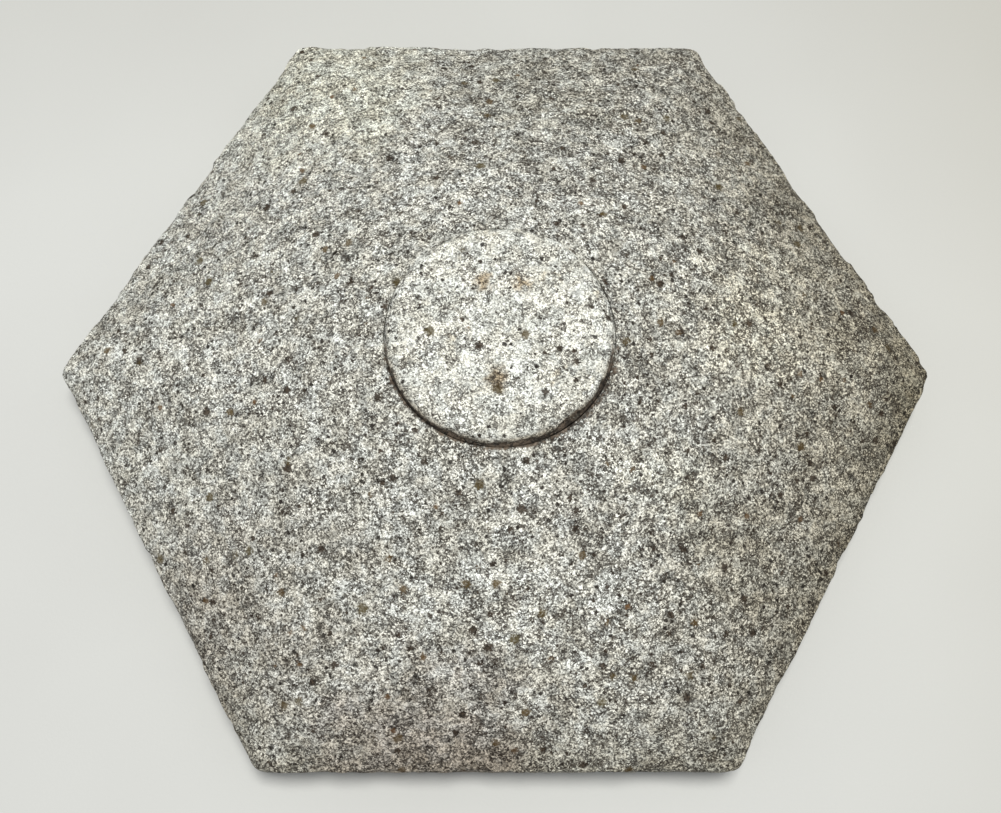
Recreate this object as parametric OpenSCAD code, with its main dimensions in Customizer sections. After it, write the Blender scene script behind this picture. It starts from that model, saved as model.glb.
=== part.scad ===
// Hexagonal domed cap of rough granite, with a round seat disc on its crown.
// The underside lies on z = 0, +Z points up, and +X runs through one corner.

/* [Cap stone] */
// Width of the hexagon across two opposite straight sides
across_flats = 288; // [220:1:360]
// Height of the upright rim below the dome
rim_height = 20; // [14:1:30]
// Rise of the dome from the rim's top edge to its crown
dome_rise = 44; // [36:1:52]
// Fullness of the dome's profile, from 1 (a straight slope) up to 2 (a pillow)
dome_fullness = 1.4; // [1.2:0.1:2]
// Sharpness of the six corners, where a larger number leaves less rounding
corner_sharpness = 120; // [60:10:160]
// Inset of the worn bevel along the rim's top and bottom edges
edge_bevel = 1.5; // [0.5:0.5:3]

/* [Seat disc] */
// Diameter of the disc
disc_diameter = 79; // [64:1:90]
// Thickness of the disc
disc_thickness = 8; // [7:0.5:12]
// Radius of the disc's worn top edge
disc_edge_radius = 3; // [1:0.5:4]
// Depth of the flat seat cut into the crown
seat_depth = 4; // [2:0.5:6]
// Gap between the disc and the wall of its seat
seat_gap = 0.6; // [0.4:0.1:2]
// Distance of the disc from the hexagon's centre, along X
disc_offset = 0.8; // [0:0.1:3]

/* [Dowel] */
// Diameter of the dowel that centres the disc
dowel_diameter = 10; // [8:1:16]
// Depth of the dowel in the cap stone
dowel_in_cap = 22; // [15:1:30]
// Depth of the dowel in the disc
dowel_in_disc = 4.5; // [3:0.5:5.5]
// Radial running clearance of the dowel in its sockets
dowel_clearance = 0.05; // [0.02:0.01:0.1]

/* [Hidden] */

SIDES = 6;
POINTS_PER_SIDE = 16;
DOME_STEPS = 12;
ROUND_SHARPNESS = 2;
SHARPNESS_FALL = 2.5;
CROWN_INSET = 8;
SOCKET_HEADROOM = 0.6;
DOWEL_CHAMFER = 0.8;
CUT_MARGIN = 20;
ROUND_FN = 96;
ARC_STEPS = 8;

apothem = across_flats / 2;
crown_radius = disc_diameter / 2 - CROWN_INSET;
seat_z = rim_height + dome_rise - seat_depth;
side_angle = 360 / SIDES;
inset_range = apothem - crown_radius;

// Length of a direction measured against the hexagon's three pairs of sides. A large
// sharpness measures a hexagon, and a sharpness of 2 measures a circle.
function hex_measure(angle, sharpness) =
    let (terms = [for (k = [0:2]) pow(abs(cos(angle - side_angle * (k + 0.5))), sharpness)])
    pow(terms[0] + terms[1] + terms[2], 1 / sharpness);

// Directions around the outline, closer together at the corners.
function sector_angle(step) =
    let (along = 2 * step / POINTS_PER_SIDE - 1)
    side_angle / 2 * (1 + 1.5 * along - 0.5 * pow(along, 3));
OUTLINE_ANGLES = [
    for (side = [0:SIDES - 1])
        for (step = [0:POINTS_PER_SIDE - 1])
            side * side_angle + sector_angle(step)
];

// One level outline, whose straight sides stand off the axis by the given distance.
function outline(stand_off, sharpness, z) = [
    for (angle = OUTLINE_ANGLES)
        let (radius = stand_off * hex_measure(side_angle / 2, sharpness) / hex_measure(angle, sharpness))
        [radius * cos(angle), radius * sin(angle), z]
];

// The dome's outlines go from the rim's hexagon at 1 to the crown's circle at 0.
function dome_outline(outward) =
    outline(
        crown_radius + inset_range * outward,
        ROUND_SHARPNESS * pow(corner_sharpness / ROUND_SHARPNESS, pow(outward, SHARPNESS_FALL)),
        rim_height + dome_rise * (1 - pow(outward, dome_fullness))
    );

// A closed solid through a stack of outlines, from the lowest to the highest.
module stacked_outlines(outlines) {
    around = len(outlines[0]);
    top = len(outlines) - 1;
    walls = [
        for (level = [0:top - 1])
            for (i = [0:around - 1])
                let (a = level * around + i, b = level * around + (i + 1) % around)
                each [[a, a + around, b + around], [a, b + around, b]]
    ];
    floor_face = [for (i = [0:around - 1]) i];
    roof_face = [for (i = [around - 1:-1:0]) top * around + i];
    polyhedron([for (level = outlines) each level], concat(walls, [floor_face, roof_face]));
}

// Blind round socket, open upwards, for the dowel.
module dowel_socket(floor_z, depth) {
    translate([disc_offset, 0, floor_z])
        cylinder(r = dowel_diameter / 2 + dowel_clearance, h = depth, $fn = ROUND_FN);
}

module cap_stone() {
    rim_outward = 1 - edge_bevel / inset_range;
    rim = [
        outline(apothem - edge_bevel, corner_sharpness, 0),
        outline(apothem, corner_sharpness, edge_bevel),
        outline(apothem, corner_sharpness, rim_height - edge_bevel)
    ];
    dome = [
        for (step = [0:DOME_STEPS])
            dome_outline(rim_outward * (1 - step / DOME_STEPS))
    ];
    color([0.56, 0.56, 0.55])
        difference() {
            stacked_outlines(concat(rim, dome));
            translate([disc_offset, 0, seat_z])
                cylinder(r = disc_diameter / 2 + seat_gap, h = CUT_MARGIN, $fn = ROUND_FN);
            dowel_socket(seat_z - dowel_in_cap, dowel_in_cap + CUT_MARGIN);
        }
}

module centring_dowel() {
    radius = dowel_diameter / 2;
    length = dowel_in_cap + dowel_in_disc;
    profile = [
        [0, 0],
        [radius - DOWEL_CHAMFER, 0],
        [radius, DOWEL_CHAMFER],
        [radius, length - DOWEL_CHAMFER],
        [radius - DOWEL_CHAMFER, length],
        [0, length]
    ];
    color([0.48, 0.46, 0.44])
        translate([disc_offset, 0, seat_z - dowel_in_cap])
            rotate_extrude($fn = ROUND_FN)
                polygon(profile);
}

module seat_disc() {
    radius = disc_diameter / 2;
    worn_edge = [
        for (step = [0:ARC_STEPS])
            let (angle = 90 * step / ARC_STEPS)
            [
                radius - disc_edge_radius * (1 - cos(angle)),
                disc_thickness - disc_edge_radius * (1 - sin(angle))
            ]
    ];
    color([0.74, 0.73, 0.70])
        difference() {
            translate([disc_offset, 0, seat_z])
                rotate_extrude($fn = ROUND_FN)
                    polygon(concat([[0, 0], [radius, 0]], worn_edge, [[0, disc_thickness]]));
            dowel_socket(seat_z - CUT_MARGIN, CUT_MARGIN + dowel_in_disc + SOCKET_HEADROOM);
        }
}

cap_stone();
centring_dowel();
seat_disc();
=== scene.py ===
"""A hexagonal domed granite cap with a loose seat disc on its crown, on a pale cloth."""

import functools
import math

import bmesh
import bpy
import numpy as np
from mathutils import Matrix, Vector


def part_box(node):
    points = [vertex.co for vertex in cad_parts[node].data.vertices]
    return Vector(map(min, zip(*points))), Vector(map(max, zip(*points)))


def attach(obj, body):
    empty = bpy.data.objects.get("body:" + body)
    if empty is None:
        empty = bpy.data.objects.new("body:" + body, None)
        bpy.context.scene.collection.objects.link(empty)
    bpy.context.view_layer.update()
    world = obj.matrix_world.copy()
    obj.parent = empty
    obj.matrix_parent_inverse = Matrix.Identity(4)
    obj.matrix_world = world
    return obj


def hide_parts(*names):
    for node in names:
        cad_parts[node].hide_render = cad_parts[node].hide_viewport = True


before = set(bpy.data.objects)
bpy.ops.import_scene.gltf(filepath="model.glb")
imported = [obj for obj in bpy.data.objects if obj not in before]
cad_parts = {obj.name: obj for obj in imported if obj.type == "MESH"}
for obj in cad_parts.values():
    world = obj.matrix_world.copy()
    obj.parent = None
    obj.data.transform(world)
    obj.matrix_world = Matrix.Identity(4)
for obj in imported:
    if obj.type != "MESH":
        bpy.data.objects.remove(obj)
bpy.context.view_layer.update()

# --- Sizes, in metres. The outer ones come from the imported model. -------------------------

CAP_LOW, CAP_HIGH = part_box("cap_stone")
DISC_LOW, DISC_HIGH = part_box("seat_disc")
DOWEL_LOW, DOWEL_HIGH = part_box("centring_dowel")

APOTHEM = CAP_HIGH.y
DISC_X = (DISC_LOW.x + DISC_HIGH.x) / 2
DISC_RADIUS = (DISC_HIGH.x - DISC_LOW.x) / 2
DOWEL_RADIUS = (DOWEL_HIGH.x - DOWEL_LOW.x) / 2
SEAT_Z = DISC_LOW.z

RIM_HEIGHT = 0.020
DOME_RISE = 0.044
DOME_FULLNESS = 1.4
CORNER_SHARPNESS = 120.0
ROUND_SHARPNESS = 2.0
SHARPNESS_FALL = 2.5
CROWN_RADIUS = DISC_RADIUS - 0.008
EDGE_BEVEL = 0.0011
SEAT_RADIUS = DISC_RADIUS + 0.00015
SOCKET_RADIUS = DOWEL_RADIUS + 0.00005
SOCKET_HEADROOM = 0.0006
WORN_EDGE = 0.0034
DOWEL_CHAMFER = 0.0008
SIDES = 6
SIDE_ANGLE = 2 * math.pi / SIDES

# Spacing of the points that the skins run through.
TOP_SPACING = 0.00115
HIDDEN_SPACING = 0.0021
DISC_SPACING = 0.0009
DISC_UNDER_SPACING = 0.0016
DOWEL_SPACING = 0.0006
# Radius of the smallest ring in a socket's floor.
SOCKET_CORE = 0.0022
# Distance between two rows of even triangles, in units of the spacing along a row.
ROW_RATIO = 0.87


# --- Repeatable noise on points ----------------------------------------------------------


def grid_random(cells, seed):
    """A repeatable random value from 0 to 1 for each whole-number grid point."""
    x, y, z = (cells[..., k].astype(np.int64) for k in range(3))
    n = (x * 374761393 + y * 668265263 + z * 1440662683 + seed * 1274126177) & 0xFFFFFFFF
    n = ((n ^ (n >> 13)) * 1274126177) & 0xFFFFFFFF
    n = ((n ^ (n >> 16)) * 668265263) & 0xFFFFFFFF
    return ((n ^ (n >> 15)) & 0xFFFFFF) / float(0xFFFFFF)


def smooth_noise(points, size, seed):
    """Smooth noise from 0 to 1, whose bumps are about size across."""
    scaled = points / size
    cell = np.floor(scaled)
    part = scaled - cell
    part = part * part * (3 - 2 * part)
    total = np.zeros(len(points))
    for corner in np.ndindex(2, 2, 2):
        corner = np.array(corner)
        weight = np.prod(np.where(corner == 1, part, 1 - part), axis=1)
        total += weight * grid_random(cell + corner, seed)
    return total


def layered_noise(points, size, seed, layers):
    """Smooth noise from 0 to 1 with finer layers on top, each half the size and half as strong."""
    total = np.zeros(len(points))
    weights = 0.5 ** np.arange(layers)
    for layer, weight in enumerate(weights):
        total += weight * smooth_noise(points, size * weight, seed + layer)
    return total / weights.sum()


def nearest_cell(points, size, seed):
    """Distance to the nearest scattered point, in units of size, and that point's random value."""
    scaled = points / size
    home = np.floor(scaled)
    best = np.full(len(points), 9.0)
    value = np.zeros(len(points))
    for step in np.ndindex(3, 3, 3):
        cell = home + np.array(step) - 1
        spot = np.stack([grid_random(cell, seed + k) for k in range(3)], axis=1)
        distance = np.linalg.norm(cell + spot - scaled, axis=1)
        closer = distance < best
        best = np.where(closer, distance, best)
        value = np.where(closer, grid_random(cell, seed + 3), value)
    return best, value


def smooth_step(value, low, high):
    """0 below low, 1 above high, and a smooth rise between them. low may be the larger."""
    t = np.clip((value - low) / (high - low), 0, 1)
    return t * t * (3 - 2 * t)


# --- Rings of points, and the skins between them ------------------------------------------


def hex_measure(angle, sharpness):
    """Length of a direction against the hexagon's three pairs of sides. 2 measures a circle."""
    terms = [
        np.abs(np.cos(angle - SIDE_ANGLE * (k + 0.5))) ** sharpness for k in range(3)
    ]
    return sum(terms) ** (1 / sharpness)


def ring(stand_off, z, spacing, sharpness=ROUND_SHARPNESS, centre_x=0.0):
    """Evenly spaced points on a level outline, from a circle to a sharp hexagon."""
    angles = np.linspace(0, SIDE_ANGLE, 241)
    middle = hex_measure(SIDE_ANGLE / 2, sharpness)
    radius = stand_off * middle / hex_measure(angles, sharpness)
    outline = np.stack([radius * np.cos(angles), radius * np.sin(angles)], axis=1)
    steps = np.linalg.norm(np.diff(outline, axis=0), axis=1)
    along = np.concatenate([[0], np.cumsum(steps)])
    count = max(3, round(along[-1] / spacing))
    targets = np.arange(count) / count * along[-1]
    x = np.interp(targets, along, outline[:, 0])
    y = np.interp(targets, along, outline[:, 1])
    points = []
    for side in range(SIDES):
        turn = side * SIDE_ANGLE
        points.append(
            np.stack(
                [
                    centre_x + x * math.cos(turn) - y * math.sin(turn),
                    x * math.sin(turn) + y * math.cos(turn),
                    np.full(count, z),
                ],
                axis=1,
            )
        )
    return np.concatenate(points)


def strip(first, first_count, second, second_count):
    """Triangles between two closed rings of points that start side by side."""
    i = np.arange(first_count)
    apex = np.floor((i + 0.5) * second_count / first_count + 0.5).astype(int)
    one = [first + i, first + (i + 1) % first_count, second + apex % second_count]
    j = np.arange(second_count)
    foot = np.searchsorted(apex, j, side="right")
    other = [second + (j + 1) % second_count, second + j, first + foot % first_count]
    return np.concatenate([np.stack(one, axis=1), np.stack(other, axis=1)])


def skin_of_rings(rings):
    """Points and triangles of a closed skin through the rings, closed by a point at each end."""
    starts = np.cumsum([0] + [len(r) for r in rings])
    points = np.concatenate(rings + [rings[0].mean(0)[None], rings[-1].mean(0)[None]])
    faces = [
        strip(starts[k], len(rings[k]), starts[k + 1], len(rings[k + 1]))
        for k in range(len(rings) - 1)
    ]
    for k, tip in ((0, len(points) - 2), (len(rings) - 1, len(points) - 1)):
        i = np.arange(len(rings[k]))
        fan = [starts[k] + i, starts[k] + (i + 1) % len(i), np.full(len(i), tip)]
        faces.append(np.stack(fan, axis=1))
    return points, np.concatenate(faces)


def normals_of(points, faces):
    """Outward normal at each point of a closed skin, and the faces turned to face outwards."""
    mesh = bpy.data.meshes.new("measured")
    mesh.from_pydata(points, [], faces)
    solid = bmesh.new()
    solid.from_mesh(mesh)
    bmesh.ops.recalc_face_normals(solid, faces=solid.faces)
    solid.to_mesh(mesh)
    solid.free()
    normals = np.zeros(len(points) * 3, np.float32)
    mesh.vertex_normals.foreach_get("vector", normals)
    turned = np.zeros(len(faces) * 3, np.int32)
    mesh.polygons.foreach_get("vertices", turned)
    bpy.data.meshes.remove(mesh)
    return normals.reshape(-1, 3).astype(float), turned.reshape(-1, 3)


def piece(name, points, faces, material, marks=None):
    """A shown piece from points and faces. marks are values at its points that materials read."""
    mesh = bpy.data.meshes.new(name)
    mesh.from_pydata(points, [], faces)
    for mark, values in (marks or {}).items():
        layer = mesh.attributes.new(mark, "FLOAT", "POINT")
        layer.data.foreach_set("value", values.astype(np.float32))
    mesh.shade_smooth()
    mesh.materials.append(material)
    shown = bpy.data.objects.new(name, mesh)
    bpy.context.scene.collection.objects.link(shown)
    return shown


# --- How pecked stone is worn -------------------------------------------------------------


# The tool's traces and later wear: sizes across and greatest depths in metres, and shares.
WAVE_SIZE = 0.045
WAVE_DEPTH = 0.0006
DENT_SIZE = 0.0062
DENT_DEPTH = 0.00025
PIT_SIZE = 0.0031
PIT_DEPTH = 0.0007
PIT_SHARE = 0.38
GRAIN_SIZE = 0.0024
GRAIN_DEPTH = 0.0007
CHIP_PATCH_SIZE = 0.010
CHIP_SHARE_EVERYWHERE = 0.15
CHIP_REACH = 0.0030
CHIP_DEPTH = 0.0012
DISC_PECKING = 0.62
DISC_CHIP_REACH = 0.0026
DISC_CHIP_DEPTH = 0.0011
EDGE_WEAR_SIZE = 0.016
EDGE_WEAR_DEPTH = 0.0010
FLAKE_SIZE = 0.0038
FLAKE_DEPTH = 0.0007
RUST_PIT_SIZE = 0.0016
LATHE_PITCH = 0.0011

# Seeds. Each layer of noise adds a number of its own.
CAP_SEED = 11
DISC_SEED = 211
DOWEL_SEED = 401


def pits_and_grain(points, seed):
    """The small pits and the rough grain, each from 0 to 1."""
    pit_at, pit_kind = nearest_cell(points, PIT_SIZE, seed + 20)
    pits = (pit_kind > 1 - PIT_SHARE) * smooth_step(pit_at, 0.45, 0.12)
    return pits, layered_noise(points, GRAIN_SIZE, seed + 30, 2)


def pecked_depth(points, seed):
    """How far the tool has cut below the highest spots, in metres, at each point."""
    wave = layered_noise(points, WAVE_SIZE, seed, 2)
    dent_at, dent_strength = nearest_cell(points, DENT_SIZE, seed + 10)
    dents = dent_strength * np.clip(1 - dent_at / 0.62, 0, 1) ** 1.5
    pits, grain = pits_and_grain(points, seed)
    return WAVE_DEPTH * wave + DENT_DEPTH * dents + PIT_DEPTH * pits + GRAIN_DEPTH * grain


def hollowness(points, seed):
    """From 0 on high grains to 1 in pits, for the painted shade that darkens the pits. It leaves
    the long waves out.
    """
    pits, grain = pits_and_grain(points, seed)
    return np.clip(0.7 * smooth_step(grain, 0.42, 0.75) + 0.6 * pits, 0, 1)


def chip_depth(points, from_edge, seed, reach, depth):
    """Chips knocked out of an edge, where from_edge is the distance from that edge."""
    patchy = smooth_step(layered_noise(points, CHIP_PATCH_SIZE, seed, 3), 0.42, 0.72)
    share = CHIP_SHARE_EVERYWHERE + (1 - CHIP_SHARE_EVERYWHERE) * patchy
    return depth * share * np.exp(-((from_edge / reach) ** 2))


def front_share(y, from_axis):
    """1 along the front of the disc's foot, and 0 behind, for the painted shade in the crease and
    on the disc's front wall.
    """
    return smooth_step(y / from_axis.clip(0.001), 0.15, -0.45)


def right_share(x):
    """1 at the disc's right, where the painted shade band at its foot is widest, and 0 at its left.
    """
    return smooth_step(x, 0.005, 0.028)


# --- Cap stone ----------------------------------------------------------------------------


def dome_ring(stand_off):
    """The dome's level outline at a distance from the axis, with the height it has there."""
    inward = min(1, (APOTHEM - stand_off) / (APOTHEM - CROWN_RADIUS))
    sharpness = ROUND_SHARPNESS * (CORNER_SHARPNESS / ROUND_SHARPNESS) ** (
        (1 - inward) ** SHARPNESS_FALL
    )
    z = RIM_HEIGHT + DOME_RISE * (1 - (1 - inward) ** DOME_FULLNESS)
    reach = 0.5 * (APOTHEM - SEAT_RADIUS)
    centring = max(0, 1 - (stand_off - SEAT_RADIUS) / reach)
    return ring(stand_off, z, TOP_SPACING, sharpness, DISC_X * centring)


def cap_rings():
    """Rings from the socket's floor, up over the seat and dome, down the rim and underneath."""
    rings = []
    for radius in (SOCKET_CORE, SOCKET_RADIUS):
        rings.append(ring(radius, DOWEL_LOW.z, TOP_SPACING, centre_x=DISC_X))
    for z in np.linspace(DOWEL_LOW.z, SEAT_Z - 0.0005, 16)[1:]:
        rings.append(ring(SOCKET_RADIUS, z, TOP_SPACING, centre_x=DISC_X))
    for radius in np.arange(SOCKET_RADIUS + 0.0004, SEAT_RADIUS - 0.0002, 0.0011):
        rings.append(ring(radius, SEAT_Z, TOP_SPACING, centre_x=DISC_X))
    first = SEAT_RADIUS + 0.0003
    seat_rim = dome_ring(first)[0][2]
    for z in np.linspace(SEAT_Z + 0.0002, seat_rim - 0.0003, 4):
        rings.append(ring(SEAT_RADIUS, z, TOP_SPACING, centre_x=DISC_X))
    last = APOTHEM - EDGE_BEVEL
    steps = round((last - first) / (TOP_SPACING * ROW_RATIO))
    rings += [dome_ring(stand_off) for stand_off in np.linspace(first, last, steps)]
    for angle in np.linspace(0, math.pi / 2, 4)[1:]:
        stand_off = APOTHEM - EDGE_BEVEL * (1 - math.sin(angle))
        z = RIM_HEIGHT - EDGE_BEVEL * (1 - math.cos(angle)) + 0.0006 * math.cos(angle)
        rings.append(ring(stand_off, z, TOP_SPACING, CORNER_SHARPNESS))
    for z in np.arange(RIM_HEIGHT - EDGE_BEVEL - TOP_SPACING, EDGE_BEVEL, -TOP_SPACING):
        rings.append(ring(APOTHEM, z, TOP_SPACING, CORNER_SHARPNESS))
    for angle in np.linspace(0, math.pi / 2, 4):
        stand_off = APOTHEM - EDGE_BEVEL * (1 - math.cos(angle))
        z = EDGE_BEVEL * (1 - math.sin(angle))
        rings.append(ring(stand_off, z, TOP_SPACING * 1.3, CORNER_SHARPNESS))
    for stand_off in np.arange(last - HIDDEN_SPACING, HIDDEN_SPACING, -HIDDEN_SPACING * 0.9):
        rings.append(ring(stand_off, 0, HIDDEN_SPACING, CORNER_SHARPNESS))
    return rings


def make_cap(material):
    """The cap stone, pecked all over, chipped along its rim, and smooth only in its socket."""
    points, faces = skin_of_rings(cap_rings())
    normals, faces = normals_of(points, faces)
    x, y, z = points.T
    angle = np.arctan2(y, x)
    stand_off = np.hypot(x, y) * hex_measure(angle, CORNER_SHARPNESS)
    stand_off /= hex_measure(SIDE_ANGLE / 2, CORNER_SHARPNESS)
    inward = np.clip(APOTHEM - stand_off, 0, None)
    from_disc = np.hypot(x - DISC_X, y)
    from_top_edge = np.hypot(inward, z - RIM_HEIGHT)
    from_low_edge = np.hypot(inward, z)
    seat = (from_disc < SEAT_RADIUS + 0.0001) * (z > SEAT_Z - 0.001)
    socket = (from_disc < SOCKET_RADIUS + 0.0003) & (z > RIM_HEIGHT)
    under = smooth_step(z, 0.002, 0.0) * (inward > 0.001)
    low = z < RIM_HEIGHT / 2

    depth = pecked_depth(points, CAP_SEED)
    depth *= 1 - 0.55 * seat
    depth *= 1 - 0.8 * smooth_step(from_disc, SEAT_RADIUS + 0.0016, SEAT_RADIUS) * (z > SEAT_Z)
    depth *= 1 - 0.35 * under
    depth += chip_depth(points, from_top_edge, CAP_SEED + 50, CHIP_REACH, CHIP_DEPTH)
    depth += chip_depth(points, from_low_edge, CAP_SEED + 60, CHIP_REACH, CHIP_DEPTH) * low
    depth[socket] = 0
    floor = under > 0.5
    depth[floor] -= depth[floor].min()
    depth[~floor & ~socket] -= 0.0004
    moved = points - normals * np.maximum(depth, 0)[:, None]
    moved[:, 0] = np.clip(moved[:, 0], CAP_LOW.x, CAP_HIGH.x)
    moved[:, 1] = np.clip(moved[:, 1], CAP_LOW.y, CAP_HIGH.y)
    moved[:, 2] = np.clip(moved[:, 2], 0, CAP_HIGH.z)

    # Painted shade: a dark band around the front of the disc's foot, wider towards the right.
    crease = front_share(y, from_disc) * (z > SEAT_Z - 0.010)
    crease *= smooth_step(from_disc, SEAT_RADIUS - 0.0060, SEAT_RADIUS - 0.0005)
    stain = SEAT_RADIUS + 0.0018 + 0.0020 * right_share(x)
    marks = {
        "pit_shade_and_rust": hollowness(points, CAP_SEED),
        "worn_edge": np.exp(-inward / 0.014) * smooth_step(z, 0.0, 0.018),
        "crease_shade": crease * smooth_step(from_disc, stain, SEAT_RADIUS),
    }
    return piece("cap_stone_surface", moved, faces, material, marks)


# --- Seat disc ----------------------------------------------------------------------------


def make_disc(material):
    """The loose disc: pecked top, worn round edge, straight wall and a blind socket below."""
    socket_top = DOWEL_HIGH.z + SOCKET_HEADROOM
    spacing = DISC_SPACING
    rings = []
    for radius in (SOCKET_CORE, SOCKET_RADIUS):
        rings.append(ring(radius, socket_top, spacing, centre_x=DISC_X))
    for z in np.linspace(socket_top, SEAT_Z + 0.0003, 7)[1:]:
        rings.append(ring(SOCKET_RADIUS, z, spacing, centre_x=DISC_X))
    for radius in np.arange(SOCKET_RADIUS + 0.0003, DISC_RADIUS - 0.0008, DISC_UNDER_SPACING):
        rings.append(ring(radius, SEAT_Z, DISC_UNDER_SPACING, centre_x=DISC_X))
    for z in np.arange(SEAT_Z + 0.0004, DISC_HIGH.z - WORN_EDGE, spacing * ROW_RATIO):
        rings.append(ring(DISC_RADIUS, z, spacing, centre_x=DISC_X))
    for turn in np.linspace(0, math.pi / 2, 6):
        radius = DISC_RADIUS - WORN_EDGE * (1 - math.cos(turn))
        z = DISC_HIGH.z - WORN_EDGE * (1 - math.sin(turn))
        rings.append(ring(radius, z, spacing, centre_x=DISC_X))
    for radius in np.arange(DISC_RADIUS - WORN_EDGE - spacing, 0.0008, -spacing * ROW_RATIO):
        rings.append(ring(radius, DISC_HIGH.z, spacing, centre_x=DISC_X))
    points, faces = skin_of_rings(rings)
    normals, faces = normals_of(points, faces)
    x, y, z = points.T
    from_axis = np.hypot(x - DISC_X, y)
    height = z - SEAT_Z
    below = height < 0.0002
    socket = (from_axis < SOCKET_RADIUS + 0.0002) & (z < socket_top + 0.0001)
    from_edge = np.hypot(DISC_RADIUS - from_axis, z - DISC_HIGH.z)

    depth = DISC_PECKING * pecked_depth(points, DISC_SEED)
    depth += chip_depth(points, from_edge, DISC_SEED + 50, DISC_CHIP_REACH, DISC_CHIP_DEPTH)
    outer = smooth_step(from_axis, 0.030, DISC_RADIUS)
    depth += EDGE_WEAR_DEPTH * smooth_noise(points, EDGE_WEAR_SIZE, DISC_SEED + 70) * outer
    flakes = smooth_step(smooth_noise(points, FLAKE_SIZE, DISC_SEED + 80), 0.45, 0.80)
    depth += FLAKE_DEPTH * flakes * outer**3
    depth[socket] = 0
    depth[below] *= 0.4
    depth *= 1 - 0.75 * smooth_step(height, 0.0036, 0.0026)
    moved = points - normals * np.maximum(depth - 0.0002 * ~below, 0)[:, None]
    moved[:, 2] = np.clip(moved[:, 2], SEAT_Z, DISC_HIGH.z)

    # Painted shade: the front of the wall and the crease at its foot are darkened.
    wall = smooth_step(from_axis, DISC_RADIUS - 0.0022, DISC_RADIUS - 0.0004)
    wall *= front_share(y, from_axis)
    crease_shade_top = 0.0062 + 0.0013 * right_share(x)
    marks = {
        "pit_shade_and_rust": hollowness(points, DISC_SEED),
        "worn_edge": wall * smooth_step(height, 0.0082, 0.0055),
        "crease_shade": wall * smooth_step(height, crease_shade_top, 0.0036),
    }
    return piece("seat_disc_surface", moved, faces, material, marks)


# --- Centring dowel -----------------------------------------------------------------------


def make_dowel(material):
    """The steel rod between the stones, with cut ends, a worn chamfer and shallow rust pits."""
    spacing = DOWEL_SPACING
    chamfer = DOWEL_CHAMFER
    rings = []
    for radius in np.arange(0.0006, DOWEL_RADIUS - chamfer, spacing * 1.3):
        rings.append(ring(radius, DOWEL_LOW.z, spacing, centre_x=DISC_X))
    rings.append(ring(DOWEL_RADIUS - chamfer, DOWEL_LOW.z, spacing, centre_x=DISC_X))
    for z in np.arange(DOWEL_LOW.z + chamfer, DOWEL_HIGH.z - chamfer + 1e-6, spacing):
        rings.append(ring(DOWEL_RADIUS, z, spacing, centre_x=DISC_X))
    for turn in np.linspace(0, math.pi / 2, 4)[1:]:
        radius = DOWEL_RADIUS - chamfer * (1 - math.cos(turn))
        z = DOWEL_HIGH.z - chamfer * (1 - math.sin(turn))
        rings.append(ring(radius, z, spacing, centre_x=DISC_X))
    for radius in np.arange(DOWEL_RADIUS - chamfer - spacing, 0.0006, -spacing * 1.3):
        rings.append(ring(radius, DOWEL_HIGH.z, spacing, centre_x=DISC_X))
    points, faces = skin_of_rings(rings)
    normals, faces = normals_of(points, faces)
    pit_at, pit_kind = nearest_cell(points, RUST_PIT_SIZE, DOWEL_SEED)
    pits = (pit_kind > 0.55) * smooth_step(pit_at, 0.5, 0.1)
    score = 0.5 + 0.5 * np.sin(points[:, 2] / LATHE_PITCH * 2 * math.pi)
    wear = layered_noise(points, 0.002, DOWEL_SEED + 10, 2)
    depth = 0.00009 * pits + 0.00002 * score + 0.00003 * wear
    moved = points - normals * depth[:, None]
    marks = {"pit_shade_and_rust": pits}
    return piece("centring_dowel_rod", moved, faces, material, marks)


# --- Materials ----------------------------------------------------------------------------


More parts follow.
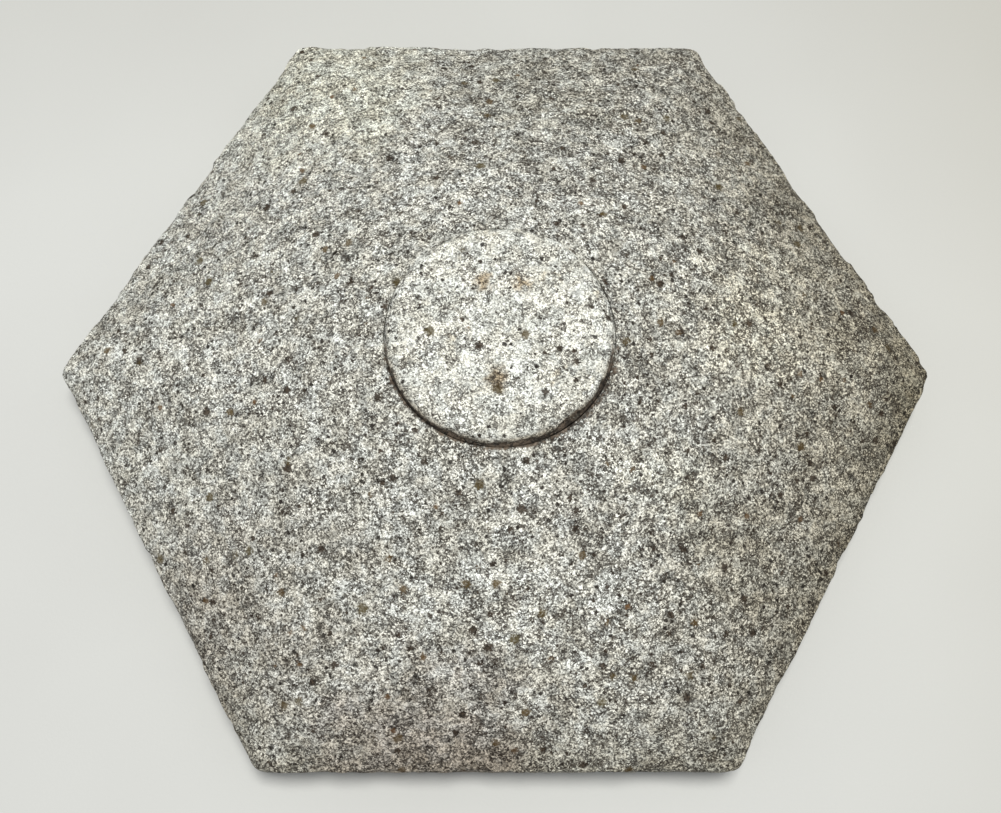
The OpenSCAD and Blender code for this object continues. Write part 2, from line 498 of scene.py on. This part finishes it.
class Shader:
    """One material's nodes, built with short calls. A value is a number, a colour or a socket."""

    def __init__(self, name):
        self.material = bpy.data.materials.new(name)
        self.material.use_nodes = True
        self.nodes = self.material.node_tree.nodes
        self.links = self.material.node_tree.links
        self.surface = self.nodes["Principled BSDF"]

    def feed(self, socket, value):
        if isinstance(value, bpy.types.NodeSocket):
            self.links.new(value, socket)
        elif hasattr(socket.default_value, "__len__") and not hasattr(value, "__len__"):
            socket.default_value = (value,) * len(socket.default_value)
        elif hasattr(value, "__len__") and len(value) == 3 and len(socket.default_value) == 4:
            socket.default_value = (*value, 1)
        else:
            socket.default_value = value

    def node(self, kind, values=(), **settings):
        made = self.nodes.new(kind)
        for key, setting in settings.items():
            setattr(made, key, setting)
        for slot, value in dict(values).items():
            self.feed(made.inputs[slot], value)
        return made

    def calc(self, operation, *values):
        return self.node("ShaderNodeMath", enumerate(values), operation=operation).outputs[0]

    def step(self, value, low, high, start=0.0, end=1.0):
        """start below low, end above high, with a smooth change between them."""
        values = {"Value": value, "From Min": low, "From Max": high, "To Min": start, "To Max": end}
        return self.node("ShaderNodeMapRange", values, interpolation_type="SMOOTHSTEP").outputs[0]

    def mix(self, factor, first, second, blend="MIX"):
        made = self.node("ShaderNodeMix", data_type="RGBA", blend_type=blend)
        for slot, value in ((0, factor), (6, first), (7, second)):
            self.feed(made.inputs[slot], value)
        return made.outputs[2]

    def tinted(self, colour, tint, share=1.0):
        """colour times tint, as far as share says."""
        return self.mix(share, colour, tint, "MULTIPLY")

    def grey(self, level):
        """One level in all three channels."""
        return self.node("ShaderNodeCombineXYZ", dict.fromkeys(range(3), level)).outputs[0]

    def ramp(self, value, stops):
        made = self.node("ShaderNodeValToRGB", {0: value})
        points = made.color_ramp.elements
        while len(points) < len(stops):
            points.new(0.5)
        for point, (at, colour) in zip(points, stops):
            point.position = at
            point.color = (*colour, 1)
        return made.outputs[0]

    def noise(self, place, size, detail=2.0, roughness=0.5, output=0):
        values = {"Vector": place, "Scale": 1 / size, "Detail": detail, "Roughness": roughness}
        return self.node("ShaderNodeTexNoise", values).outputs[output]

    def cells(self, place, size):
        """Distance to the nearest scattered point, in units of size, and two random values."""
        values = {"Vector": place, "Scale": 1 / size}
        made = self.node("ShaderNodeTexVoronoi", values, feature="F1")
        parts = self.node("ShaderNodeSeparateColor", {0: made.outputs["Color"]})
        return made.outputs["Distance"], parts.outputs[0], parts.outputs[1]

    def borders(self, place, size):
        """Distance to the nearest border between two cells, in units of size."""
        values = {"Vector": place, "Scale": 1 / size}
        return self.node("ShaderNodeTexVoronoi", values, feature="DISTANCE_TO_EDGE").outputs[0]

    def shifted(self, place, by, amount):
        """place moved by a noise colour, at most by half of amount each way."""
        centred = self.node("ShaderNodeVectorMath", {0: by, 1: (0.5,) * 3}, operation="SUBTRACT")
        values = {0: centred.outputs[0], "Scale": amount}
        scaled = self.node("ShaderNodeVectorMath", values, operation="SCALE")
        values = {0: place, 1: scaled.outputs[0]}
        return self.node("ShaderNodeVectorMath", values, operation="ADD").outputs[0]

    def mark(self, name):
        made = self.node("ShaderNodeAttribute", attribute_name=name)
        return made.outputs["Fac"]

    def millimetres(self):
        """The place on the piece, in millimetres, in the model's own frame."""
        place = self.node("ShaderNodeTexCoord").outputs["Object"]
        values = {0: place, "Scale": 1000.0}
        return self.node("ShaderNodeVectorMath", values, operation="SCALE").outputs[0]


# Sizes across the stone's grains, stains and spots, in millimetres.
PATCH_MM = 7.0
ROUGH_MM = 5.0
BLUISH_MM = 6.0
CRYSTAL_MM = 3.6
GRAIN_MM = 1.15
CRUMB_MM = 0.52
DUST_MM = 0.42
RAGGED_MM = 0.75
SPECK_MM = 2.6
FLECK_MM = 5.4
RUST_MM = 10.0
MOTTLE_MM = 13.0

BLUISH_TINT = (0.90, 0.95, 1.02)
PORE_COLOUR = (0.044, 0.031, 0.021)
SPECK_COLOURS = ((0.050, 0.032, 0.019), (0.018, 0.014, 0.011))
FLECK_COLOURS = ((0.018, 0.014, 0.010), (0.075, 0.052, 0.034))
RUST_COLOURS = ((0.150, 0.078, 0.030), (0.090, 0.070, 0.024))
# Colours of the painted shade in the crease at the disc's foot.
CREASE_SHADE_COLOURS = ((0.022, 0.016, 0.012), (0.150, 0.112, 0.082))


def spots(s, place, ragged, size, share, reach, wander, edge):
    """Scattered spots with ragged outlines, and a random value for each spot.

    share is the share of the cells that hold a spot. reach is a spot's smallest radius, its
    growth and the growth's power, and wander is how raggedness scales the radius. edge is
    where a spot ends and where it is full.
    """
    near, kind, rank = s.cells(place, size)
    least, growth, power = reach
    reach = s.calc("MULTIPLY_ADD", s.calc("POWER", rank, power), growth, least)
    reach = s.calc("MULTIPLY", reach, s.calc("MULTIPLY_ADD", ragged, *wander))
    spot = s.step(s.calc("DIVIDE", near, reach), *edge)
    return s.calc("MULTIPLY", spot, s.step(kind, 1 - share, 1.01 - share)), rank


def granite(name, stops, fine_dark, shares, unrest, tone):
    """Speckled granite.

    stops colour its grains, and fine_dark is how dark the pores and grain borders are. shares
    are the shares of specks, flecks and rust spots. unrest says where it is coarser, and tone
    tints it slowly.
    """
    speck_share, fleck_share, rust_share = shares
    s = Shader(name)
    mm = s.millimetres()
    bent = s.shifted(mm, s.noise(mm, 0.9, 2, output=1), 0.9)
    bent_wide = s.shifted(mm, s.noise(mm, 2.4, 3, output=1), 4.5)

    patches = s.step(s.noise(mm, PATCH_MM, 2.5), 0.38, 0.62)
    coarse = s.calc("ADD", s.noise(mm, ROUGH_MM, 3.0, 0.6), unrest(s, mm))
    rough = s.step(coarse, 0.42, 0.62)
    _, crystal, _ = s.cells(bent_wide, CRYSTAL_MM)
    _, grain, _ = s.cells(bent, GRAIN_MM)
    _, crumb, _ = s.cells(mm, CRUMB_MM)
    level = s.calc("MULTIPLY", patches, 0.14)
    level = s.calc("MULTIPLY_ADD", crystal, 0.13, level)
    level = s.calc("MULTIPLY_ADD", grain, 0.30, level)
    level = s.calc("MULTIPLY_ADD", s.step(crumb, 0.1, 0.8), 0.43, level)
    colour = s.ramp(level, stops)
    _, dust, _ = s.cells(mm, DUST_MM)
    dust = s.grey(s.step(dust, 0.26, 0.50, 0.30, 1.20))
    colour = s.tinted(colour, dust, s.calc("MULTIPLY_ADD", rough, 0.40, 0.60))

    bluish = s.step(s.noise(bent_wide, BLUISH_MM, 2.0), 0.42, 0.60)
    colour = s.tinted(colour, BLUISH_TINT, s.calc("MULTIPLY", bluish, 0.60))

    between = s.step(s.borders(bent, GRAIN_MM), 0.19, 0.05)
    between = s.calc("MULTIPLY", between, s.step(s.noise(mm, 1.6, 2), 0.40, 0.58))
    between = s.calc("MULTIPLY", between, s.calc("MULTIPLY_ADD", rough, 0.6, 0.35))
    pores = s.calc("MULTIPLY_ADD", rough, -0.095, s.noise(bent, GRAIN_MM, 1.5))
    pores = s.step(pores, 0.345, 0.30)
    dark = s.calc("MAXIMUM", between, pores)
    colour = s.mix(s.calc("MULTIPLY", dark, fine_dark), colour, PORE_COLOUR)
    # Painted shade: the pits are darkened in the colour.
    colour = s.tinted(colour, s.grey(s.step(s.mark("pit_shade_and_rust"), 0.25, 1.0, 1.0, 0.62)))

    scatter = functools.partial(spots, s, bent, s.noise(mm, RAGGED_MM, 2, 0.7))
    specks, rank = scatter(SPECK_MM, speck_share, (0.11, 0.20, 2.0), (1.8, 0.1), (1.15, 0.85))
    colour = s.mix(s.calc("MULTIPLY", specks, 0.93), colour, s.mix(rank, *SPECK_COLOURS))
    flecks, _ = scatter(FLECK_MM, fleck_share, (0.09, 0.19, 3.0), (2.8, -0.35), (1.30, 0.80))
    colour = s.mix(s.calc("MULTIPLY", flecks, 0.95), colour, s.mix(crumb, *FLECK_COLOURS))
    rust, rank = scatter(RUST_MM, rust_share, (0.09, 0.09, 1.0), (2.2, -0.1), (1.30, 0.70))
    colour = s.mix(s.calc("MULTIPLY", rust, 0.85), colour, s.mix(rank, *RUST_COLOURS))

    colour = tone(s, mm, colour)
    # Painted shade in the crease at the disc's foot, mixed from two colours by the grain.
    clumps = s.calc("MULTIPLY_ADD", s.noise(mm, 1.3, 3.0, 0.7), 1.5, s.calc("MULTIPLY", grain, 0.5))
    crease_shade = s.step(s.calc("ADD", s.mark("crease_shade"), clumps), 1.35, 1.85)
    crease_colour = s.mix(s.step(grain, 0.25, 1.0), *CREASE_SHADE_COLOURS)
    colour = s.mix(s.calc("MULTIPLY", crease_shade, 0.94), colour, crease_colour)

    s.feed(s.surface.inputs["Base Color"], colour)
    glint = s.step(grain, 0.80, 0.92, 0.90, 0.55)
    s.feed(s.surface.inputs["Roughness"], glint)
    s.surface.inputs["Specular IOR Level"].default_value = 0.25
    relief = s.calc("MULTIPLY_ADD", crumb, 0.35, s.calc("MULTIPLY", grain, 0.30))
    relief = s.calc("SUBTRACT", relief, s.calc("MULTIPLY", dark, 0.45))
    bump = s.node("ShaderNodeBump", {"Height": relief, "Distance": 0.0009, "Strength": 0.8})
    s.feed(s.surface.inputs["Normal"], bump.outputs[0])
    return s.material


def mottled(s, mm, colour, tint):
    """Cloudy patches of a darker tint over the whole stone."""
    clear = s.step(s.noise(mm, MOTTLE_MM, 3.5, 0.62), 0.34, 0.62)
    return s.mix(clear, s.tinted(colour, tint), colour)


def near_spot(s, place, spot, near, far):
    """1 within near of a spot on the stone, and 0 beyond far. Both are in millimetres."""
    values = {0: place, 1: (*spot, 0.0)}
    away = s.node("ShaderNodeVectorMath", values, operation="DISTANCE").outputs["Value"]
    return s.step(away, far, near)


def wandering(s, mm, size, amount):
    """The place seen from above, pushed sideways by noise, so that broad zones get uneven edges."""
    parts = s.node("ShaderNodeSeparateXYZ", {0: mm})
    flat = s.node("ShaderNodeCombineXYZ", {0: parts.outputs[0], 1: parts.outputs[1]}).outputs[0]
    pushed = s.shifted(flat, s.noise(mm, size, 3.0, 0.6, output=1), amount)
    parts = s.node("ShaderNodeSeparateXYZ", {0: pushed})
    x, y = parts.outputs[0], parts.outputs[1]
    return s.node("ShaderNodeCombineXYZ", {0: x, 1: y}).outputs[0], x, y


# Broad zones of the slab: middle in millimetres, full inside, none outside, tint.
SLAB_ZONES = [
    ((-68, 125), 15, 60, (1.10, 1.10, 1.04)),
    ((20, 120), 12, 55, (0.88, 0.87, 0.84)),
    ((165, -10), 10, 50, (0.84, 0.82, 0.76)),
    ((-25, -145), 10, 58, (0.76, 0.70, 0.68)),
    ((-100, -95), 8, 60, (0.84, 0.81, 0.79)),
    ((22, -98), 10, 40, (1.14, 1.14, 1.14)),
    ((92, 12), 6, 42, (1.20, 1.19, 1.15)),
    ((80, -72), 6, 34, (0.86, 0.84, 0.80)),
    ((60, -50), 4, 22, (1.14, 1.14, 1.12)),
]


RIGHT_TINT = (0.74, 0.695, 0.615)
EDGE_TINT = (0.56, 0.53, 0.47)
SLAB_CLOUD_TINT = (0.80, 0.785, 0.76)
SLAB_BRIGHTNESS = 1.03

# Size of the noise that bends the zones, and how far it pushes them, in millimetres.
ZONE_WANDER = (26.0, 75.0)


def slab_unrest(s, mm):
    """The slab is calm towards -X and in its pale back corner, and coarse behind the disc."""
    place, x, _ = wandering(s, mm, *ZONE_WANDER)
    shift = s.calc("MULTIPLY", x, 0.00035)
    shift = s.calc("MULTIPLY_ADD", near_spot(s, place, (30, 112), 15, 75), 0.05, shift)
    return s.calc("MULTIPLY_ADD", near_spot(s, place, (-75, 118), 20, 70), -0.06, shift)


def slab_tone(s, mm, colour):
    """The slab is darker and browner towards +X and along its worn edges, with cloudy zones."""
    place, x, y = wandering(s, mm, *ZONE_WANDER)
    right = s.step(x, 20.0, 150.0)
    colour = s.tinted(colour, RIGHT_TINT, s.calc("MULTIPLY", right, 0.90))
    for spot, near, far, tint in SLAB_ZONES:
        colour = s.tinted(colour, tint, near_spot(s, place, spot, near, far))
    lee = s.calc("MULTIPLY_ADD", y, -0.6, s.calc("MULTIPLY", x, 0.8))
    edge = s.calc("MULTIPLY", s.mark("worn_edge"), s.step(lee, -80.0, 40.0, 0.15, 1.0))
    colour = s.tinted(colour, EDGE_TINT, s.calc("MULTIPLY", edge, 0.80))
    colour = mottled(s, mm, colour, SLAB_CLOUD_TINT)
    return s.tinted(colour, (SLAB_BRIGHTNESS,) * 3)


def disc_unrest(s, mm):
    """The disc is equally coarse all over."""
    return 0.0


# Brown stains on the disc: middle in millimetres, full inside, none outside.
DISC_STAINS = [((-5, 17), 1, 5), ((8, 17), 1, 5), ((0, -17), 1, 6)]
STAIN_TINT = (0.42, 0.30, 0.17)
STAIN_WANDER = (3.0, 9.0)
FAINT_STAIN_MM = 11.0
FAINT_STAIN_TINT = (0.74, 0.63, 0.47)
DISC_CLOUD_TINT = (0.86, 0.855, 0.84)
WALL_SHADE_TINT = (0.60, 0.53, 0.45)


def disc_tone(s, mm, colour):
    """The disc is evenly pale, with a few brown stains near its middle and painted shade darkening
    the front of its wall.
    """
    place, _, _ = wandering(s, mm, *STAIN_WANDER)
    faint = s.step(s.noise(mm, FAINT_STAIN_MM, 4.0, 0.65), 0.60, 0.72)
    colour = s.tinted(colour, FAINT_STAIN_TINT, s.calc("MULTIPLY", faint, 0.5))
    for spot, near, far in DISC_STAINS:
        stain = s.calc("MULTIPLY", near_spot(s, place, spot, near, far), 0.8)
        colour = s.tinted(colour, STAIN_TINT, stain)
    colour = mottled(s, mm, colour, DISC_CLOUD_TINT)
    # Painted shade: the front of the wall is darkened.
    return s.tinted(colour, WALL_SHADE_TINT, s.calc("MULTIPLY", s.mark("worn_edge"), 0.75))


def weathered_steel():
    """Dull steel rod with fine lathe rings, brown rust in its pits and a scuffed top."""
    s = Shader("weathered_steel")
    mm = s.millimetres()
    parts = s.node("ShaderNodeSeparateXYZ", {0: mm})
    rings = s.noise(s.node("ShaderNodeCombineXYZ", {2: parts.outputs[2]}).outputs[0], 0.16, 2)
    blotch = s.noise(mm, 3.2, 4.0, 0.65)
    rust = s.calc("MAXIMUM", s.step(blotch, 0.52, 0.66), s.mark("pit_shade_and_rust"))
    metal = s.ramp(rings, [(0.3, (0.30, 0.29, 0.28)), (0.7, (0.46, 0.45, 0.43))])
    stain = s.ramp(s.noise(mm, 0.8, 3), [(0.3, (0.13, 0.060, 0.028)), (0.7, (0.27, 0.135, 0.062))])
    s.feed(s.surface.inputs["Base Color"], s.mix(s.calc("MULTIPLY", rust, 0.8), metal, stain))
    s.feed(s.surface.inputs["Metallic"], s.calc("SUBTRACT", 0.92, s.calc("MULTIPLY", rust, 0.8)))
    s.feed(s.surface.inputs["Roughness"], s.calc("MULTIPLY_ADD", rust, 0.38, 0.40))
    height = s.calc("SUBTRACT", s.calc("MULTIPLY", rings, 0.3), rust)
    bump = s.node("ShaderNodeBump", {"Height": height, "Distance": 0.0001, "Strength": 0.6})
    s.feed(s.surface.inputs["Normal"], bump.outputs[0])
    return s.material


SLAB_STOPS = [
    (0.22, (0.135, 0.128, 0.115)),
    (0.34, (0.290, 0.283, 0.255)),
    (0.46, (0.520, 0.508, 0.455)),
    (0.58, (0.725, 0.713, 0.652)),
    (0.74, (0.955, 0.946, 0.880)),
]
DISC_STOPS = [
    (0.16, (0.250, 0.242, 0.216)),
    (0.27, (0.540, 0.528, 0.475)),
    (0.37, (0.780, 0.765, 0.690)),
    (0.48, (0.920, 0.905, 0.820)),
    (0.62, (0.960, 0.948, 0.876)),
]

slab_granite = granite(
    "slab_granite", SLAB_STOPS, 0.80, (0.58, 0.62, 0.70), slab_unrest, slab_tone
)
disc_granite = granite(
    "disc_granite", DISC_STOPS, 0.74, (0.42, 0.28, 0.30), disc_unrest, disc_tone
)

cap = make_cap(slab_granite)
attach(cap, "cap")
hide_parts("cap_stone")

disc = make_disc(disc_granite)
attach(disc, "disc")
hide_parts("seat_disc")

dowel = make_dowel(weathered_steel())
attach(dowel, "dowel")
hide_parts("centring_dowel")


# --- Floor, light and camera --------------------------------------------------------------


# Places in metres, turns in radians, and the lens in millimetres.
FLOOR_HALF = 3.0
FLOOR_FAR_SHADE = (0.86, 0.84, 0.79)
FLOOR_BACK_SHADE = (0.87, 0.865, 0.85)
LIGHT_PLACE = (0.06, 0.14, 1.35)
LIGHT_SIZE = 0.42
LIGHT_WATTS = 17.2
LIGHT_COLOUR = (1.0, 1.0, 0.945)
ROOM_COLOUR = (0.94, 0.96, 0.965, 1)
ROOM_STRENGTH = 0.42
CAMERA_PLACE = (-0.0016, -0.1231, 0.3977)
CAMERA_TURN = (0.28317, -0.00779, 0.0001)
CAMERA_LENS = 37.56


def make_floor():
    """A large pale cloth-coloured floor under the stone, with painted shade darkening it towards +X
    and towards the back.
    """
    s = Shader("pale_floor")
    mm = s.millimetres()
    weave = s.noise(mm, 1.2, 3.0)
    cloud = s.noise(mm, 120.0, 2.0)
    base = s.ramp(cloud, [(0.3, (0.575, 0.575, 0.568)), (0.7, (0.600, 0.602, 0.595))])
    parts = s.node("ShaderNodeSeparateXYZ", {0: mm})
    x, y = parts.outputs[0], parts.outputs[1]
    # Painted shade: the floor's colour darkens towards +X and towards the back.
    far = s.calc("MULTIPLY", s.step(x, 60.0, 320.0), s.step(y, -220.0, 160.0, 0.7, 1.0))
    back = s.step(y, 20.0, 260.0)
    base = s.tinted(base, FLOOR_FAR_SHADE, far)
    base = s.tinted(base, FLOOR_BACK_SHADE, back)
    s.feed(s.surface.inputs["Base Color"], base)
    s.surface.inputs["Roughness"].default_value = 0.9
    s.surface.inputs["Specular IOR Level"].default_value = 0.1
    bump = s.node("ShaderNodeBump", {"Height": weave, "Distance": 0.0002, "Strength": 0.25})
    s.feed(s.surface.inputs["Normal"], bump.outputs[0])
    half = FLOOR_HALF
    corners = [(-half, -half, 0), (half, -half, 0), (half, half, 0), (-half, half, 0)]
    return piece("pale_floor", corners, [(0, 1, 2, 3)], s.material)


def make_light(name):
    """A square soft light that faces the middle of the stone."""
    lamp = bpy.data.lights.new(name, "AREA")
    lamp.size = LIGHT_SIZE
    lamp.energy = LIGHT_WATTS
    lamp.color = LIGHT_COLOUR
    shown = bpy.data.objects.new(name, lamp)
    shown.location = LIGHT_PLACE
    towards = -shown.location
    shown.rotation_euler = towards.to_track_quat("-Z", "Y").to_euler()
    bpy.context.scene.collection.objects.link(shown)


def make_camera():
    """The camera looks almost straight down, from a little in front of the middle."""
    lens = bpy.data.cameras.new("camera")
    lens.sensor_width = 36.0
    lens.lens = CAMERA_LENS
    lens.clip_start = 0.01
    shown = bpy.data.objects.new("camera", lens)
    shown.location = CAMERA_PLACE
    shown.rotation_euler = CAMERA_TURN
    bpy.context.scene.collection.objects.link(shown)
    bpy.context.scene.camera = shown


def make_world():
    """Even pale light from all around."""
    world = bpy.data.worlds.new("soft_room")
    world.use_nodes = True
    world.node_tree.nodes["Background"].inputs["Color"].default_value = ROOM_COLOUR
    world.node_tree.nodes["Background"].inputs["Strength"].default_value = ROOM_STRENGTH
    bpy.context.scene.world = world


make_floor()
make_light("ceiling_light")
make_world()
make_camera()
bpy.context.scene.view_settings.view_transform = "Standard"
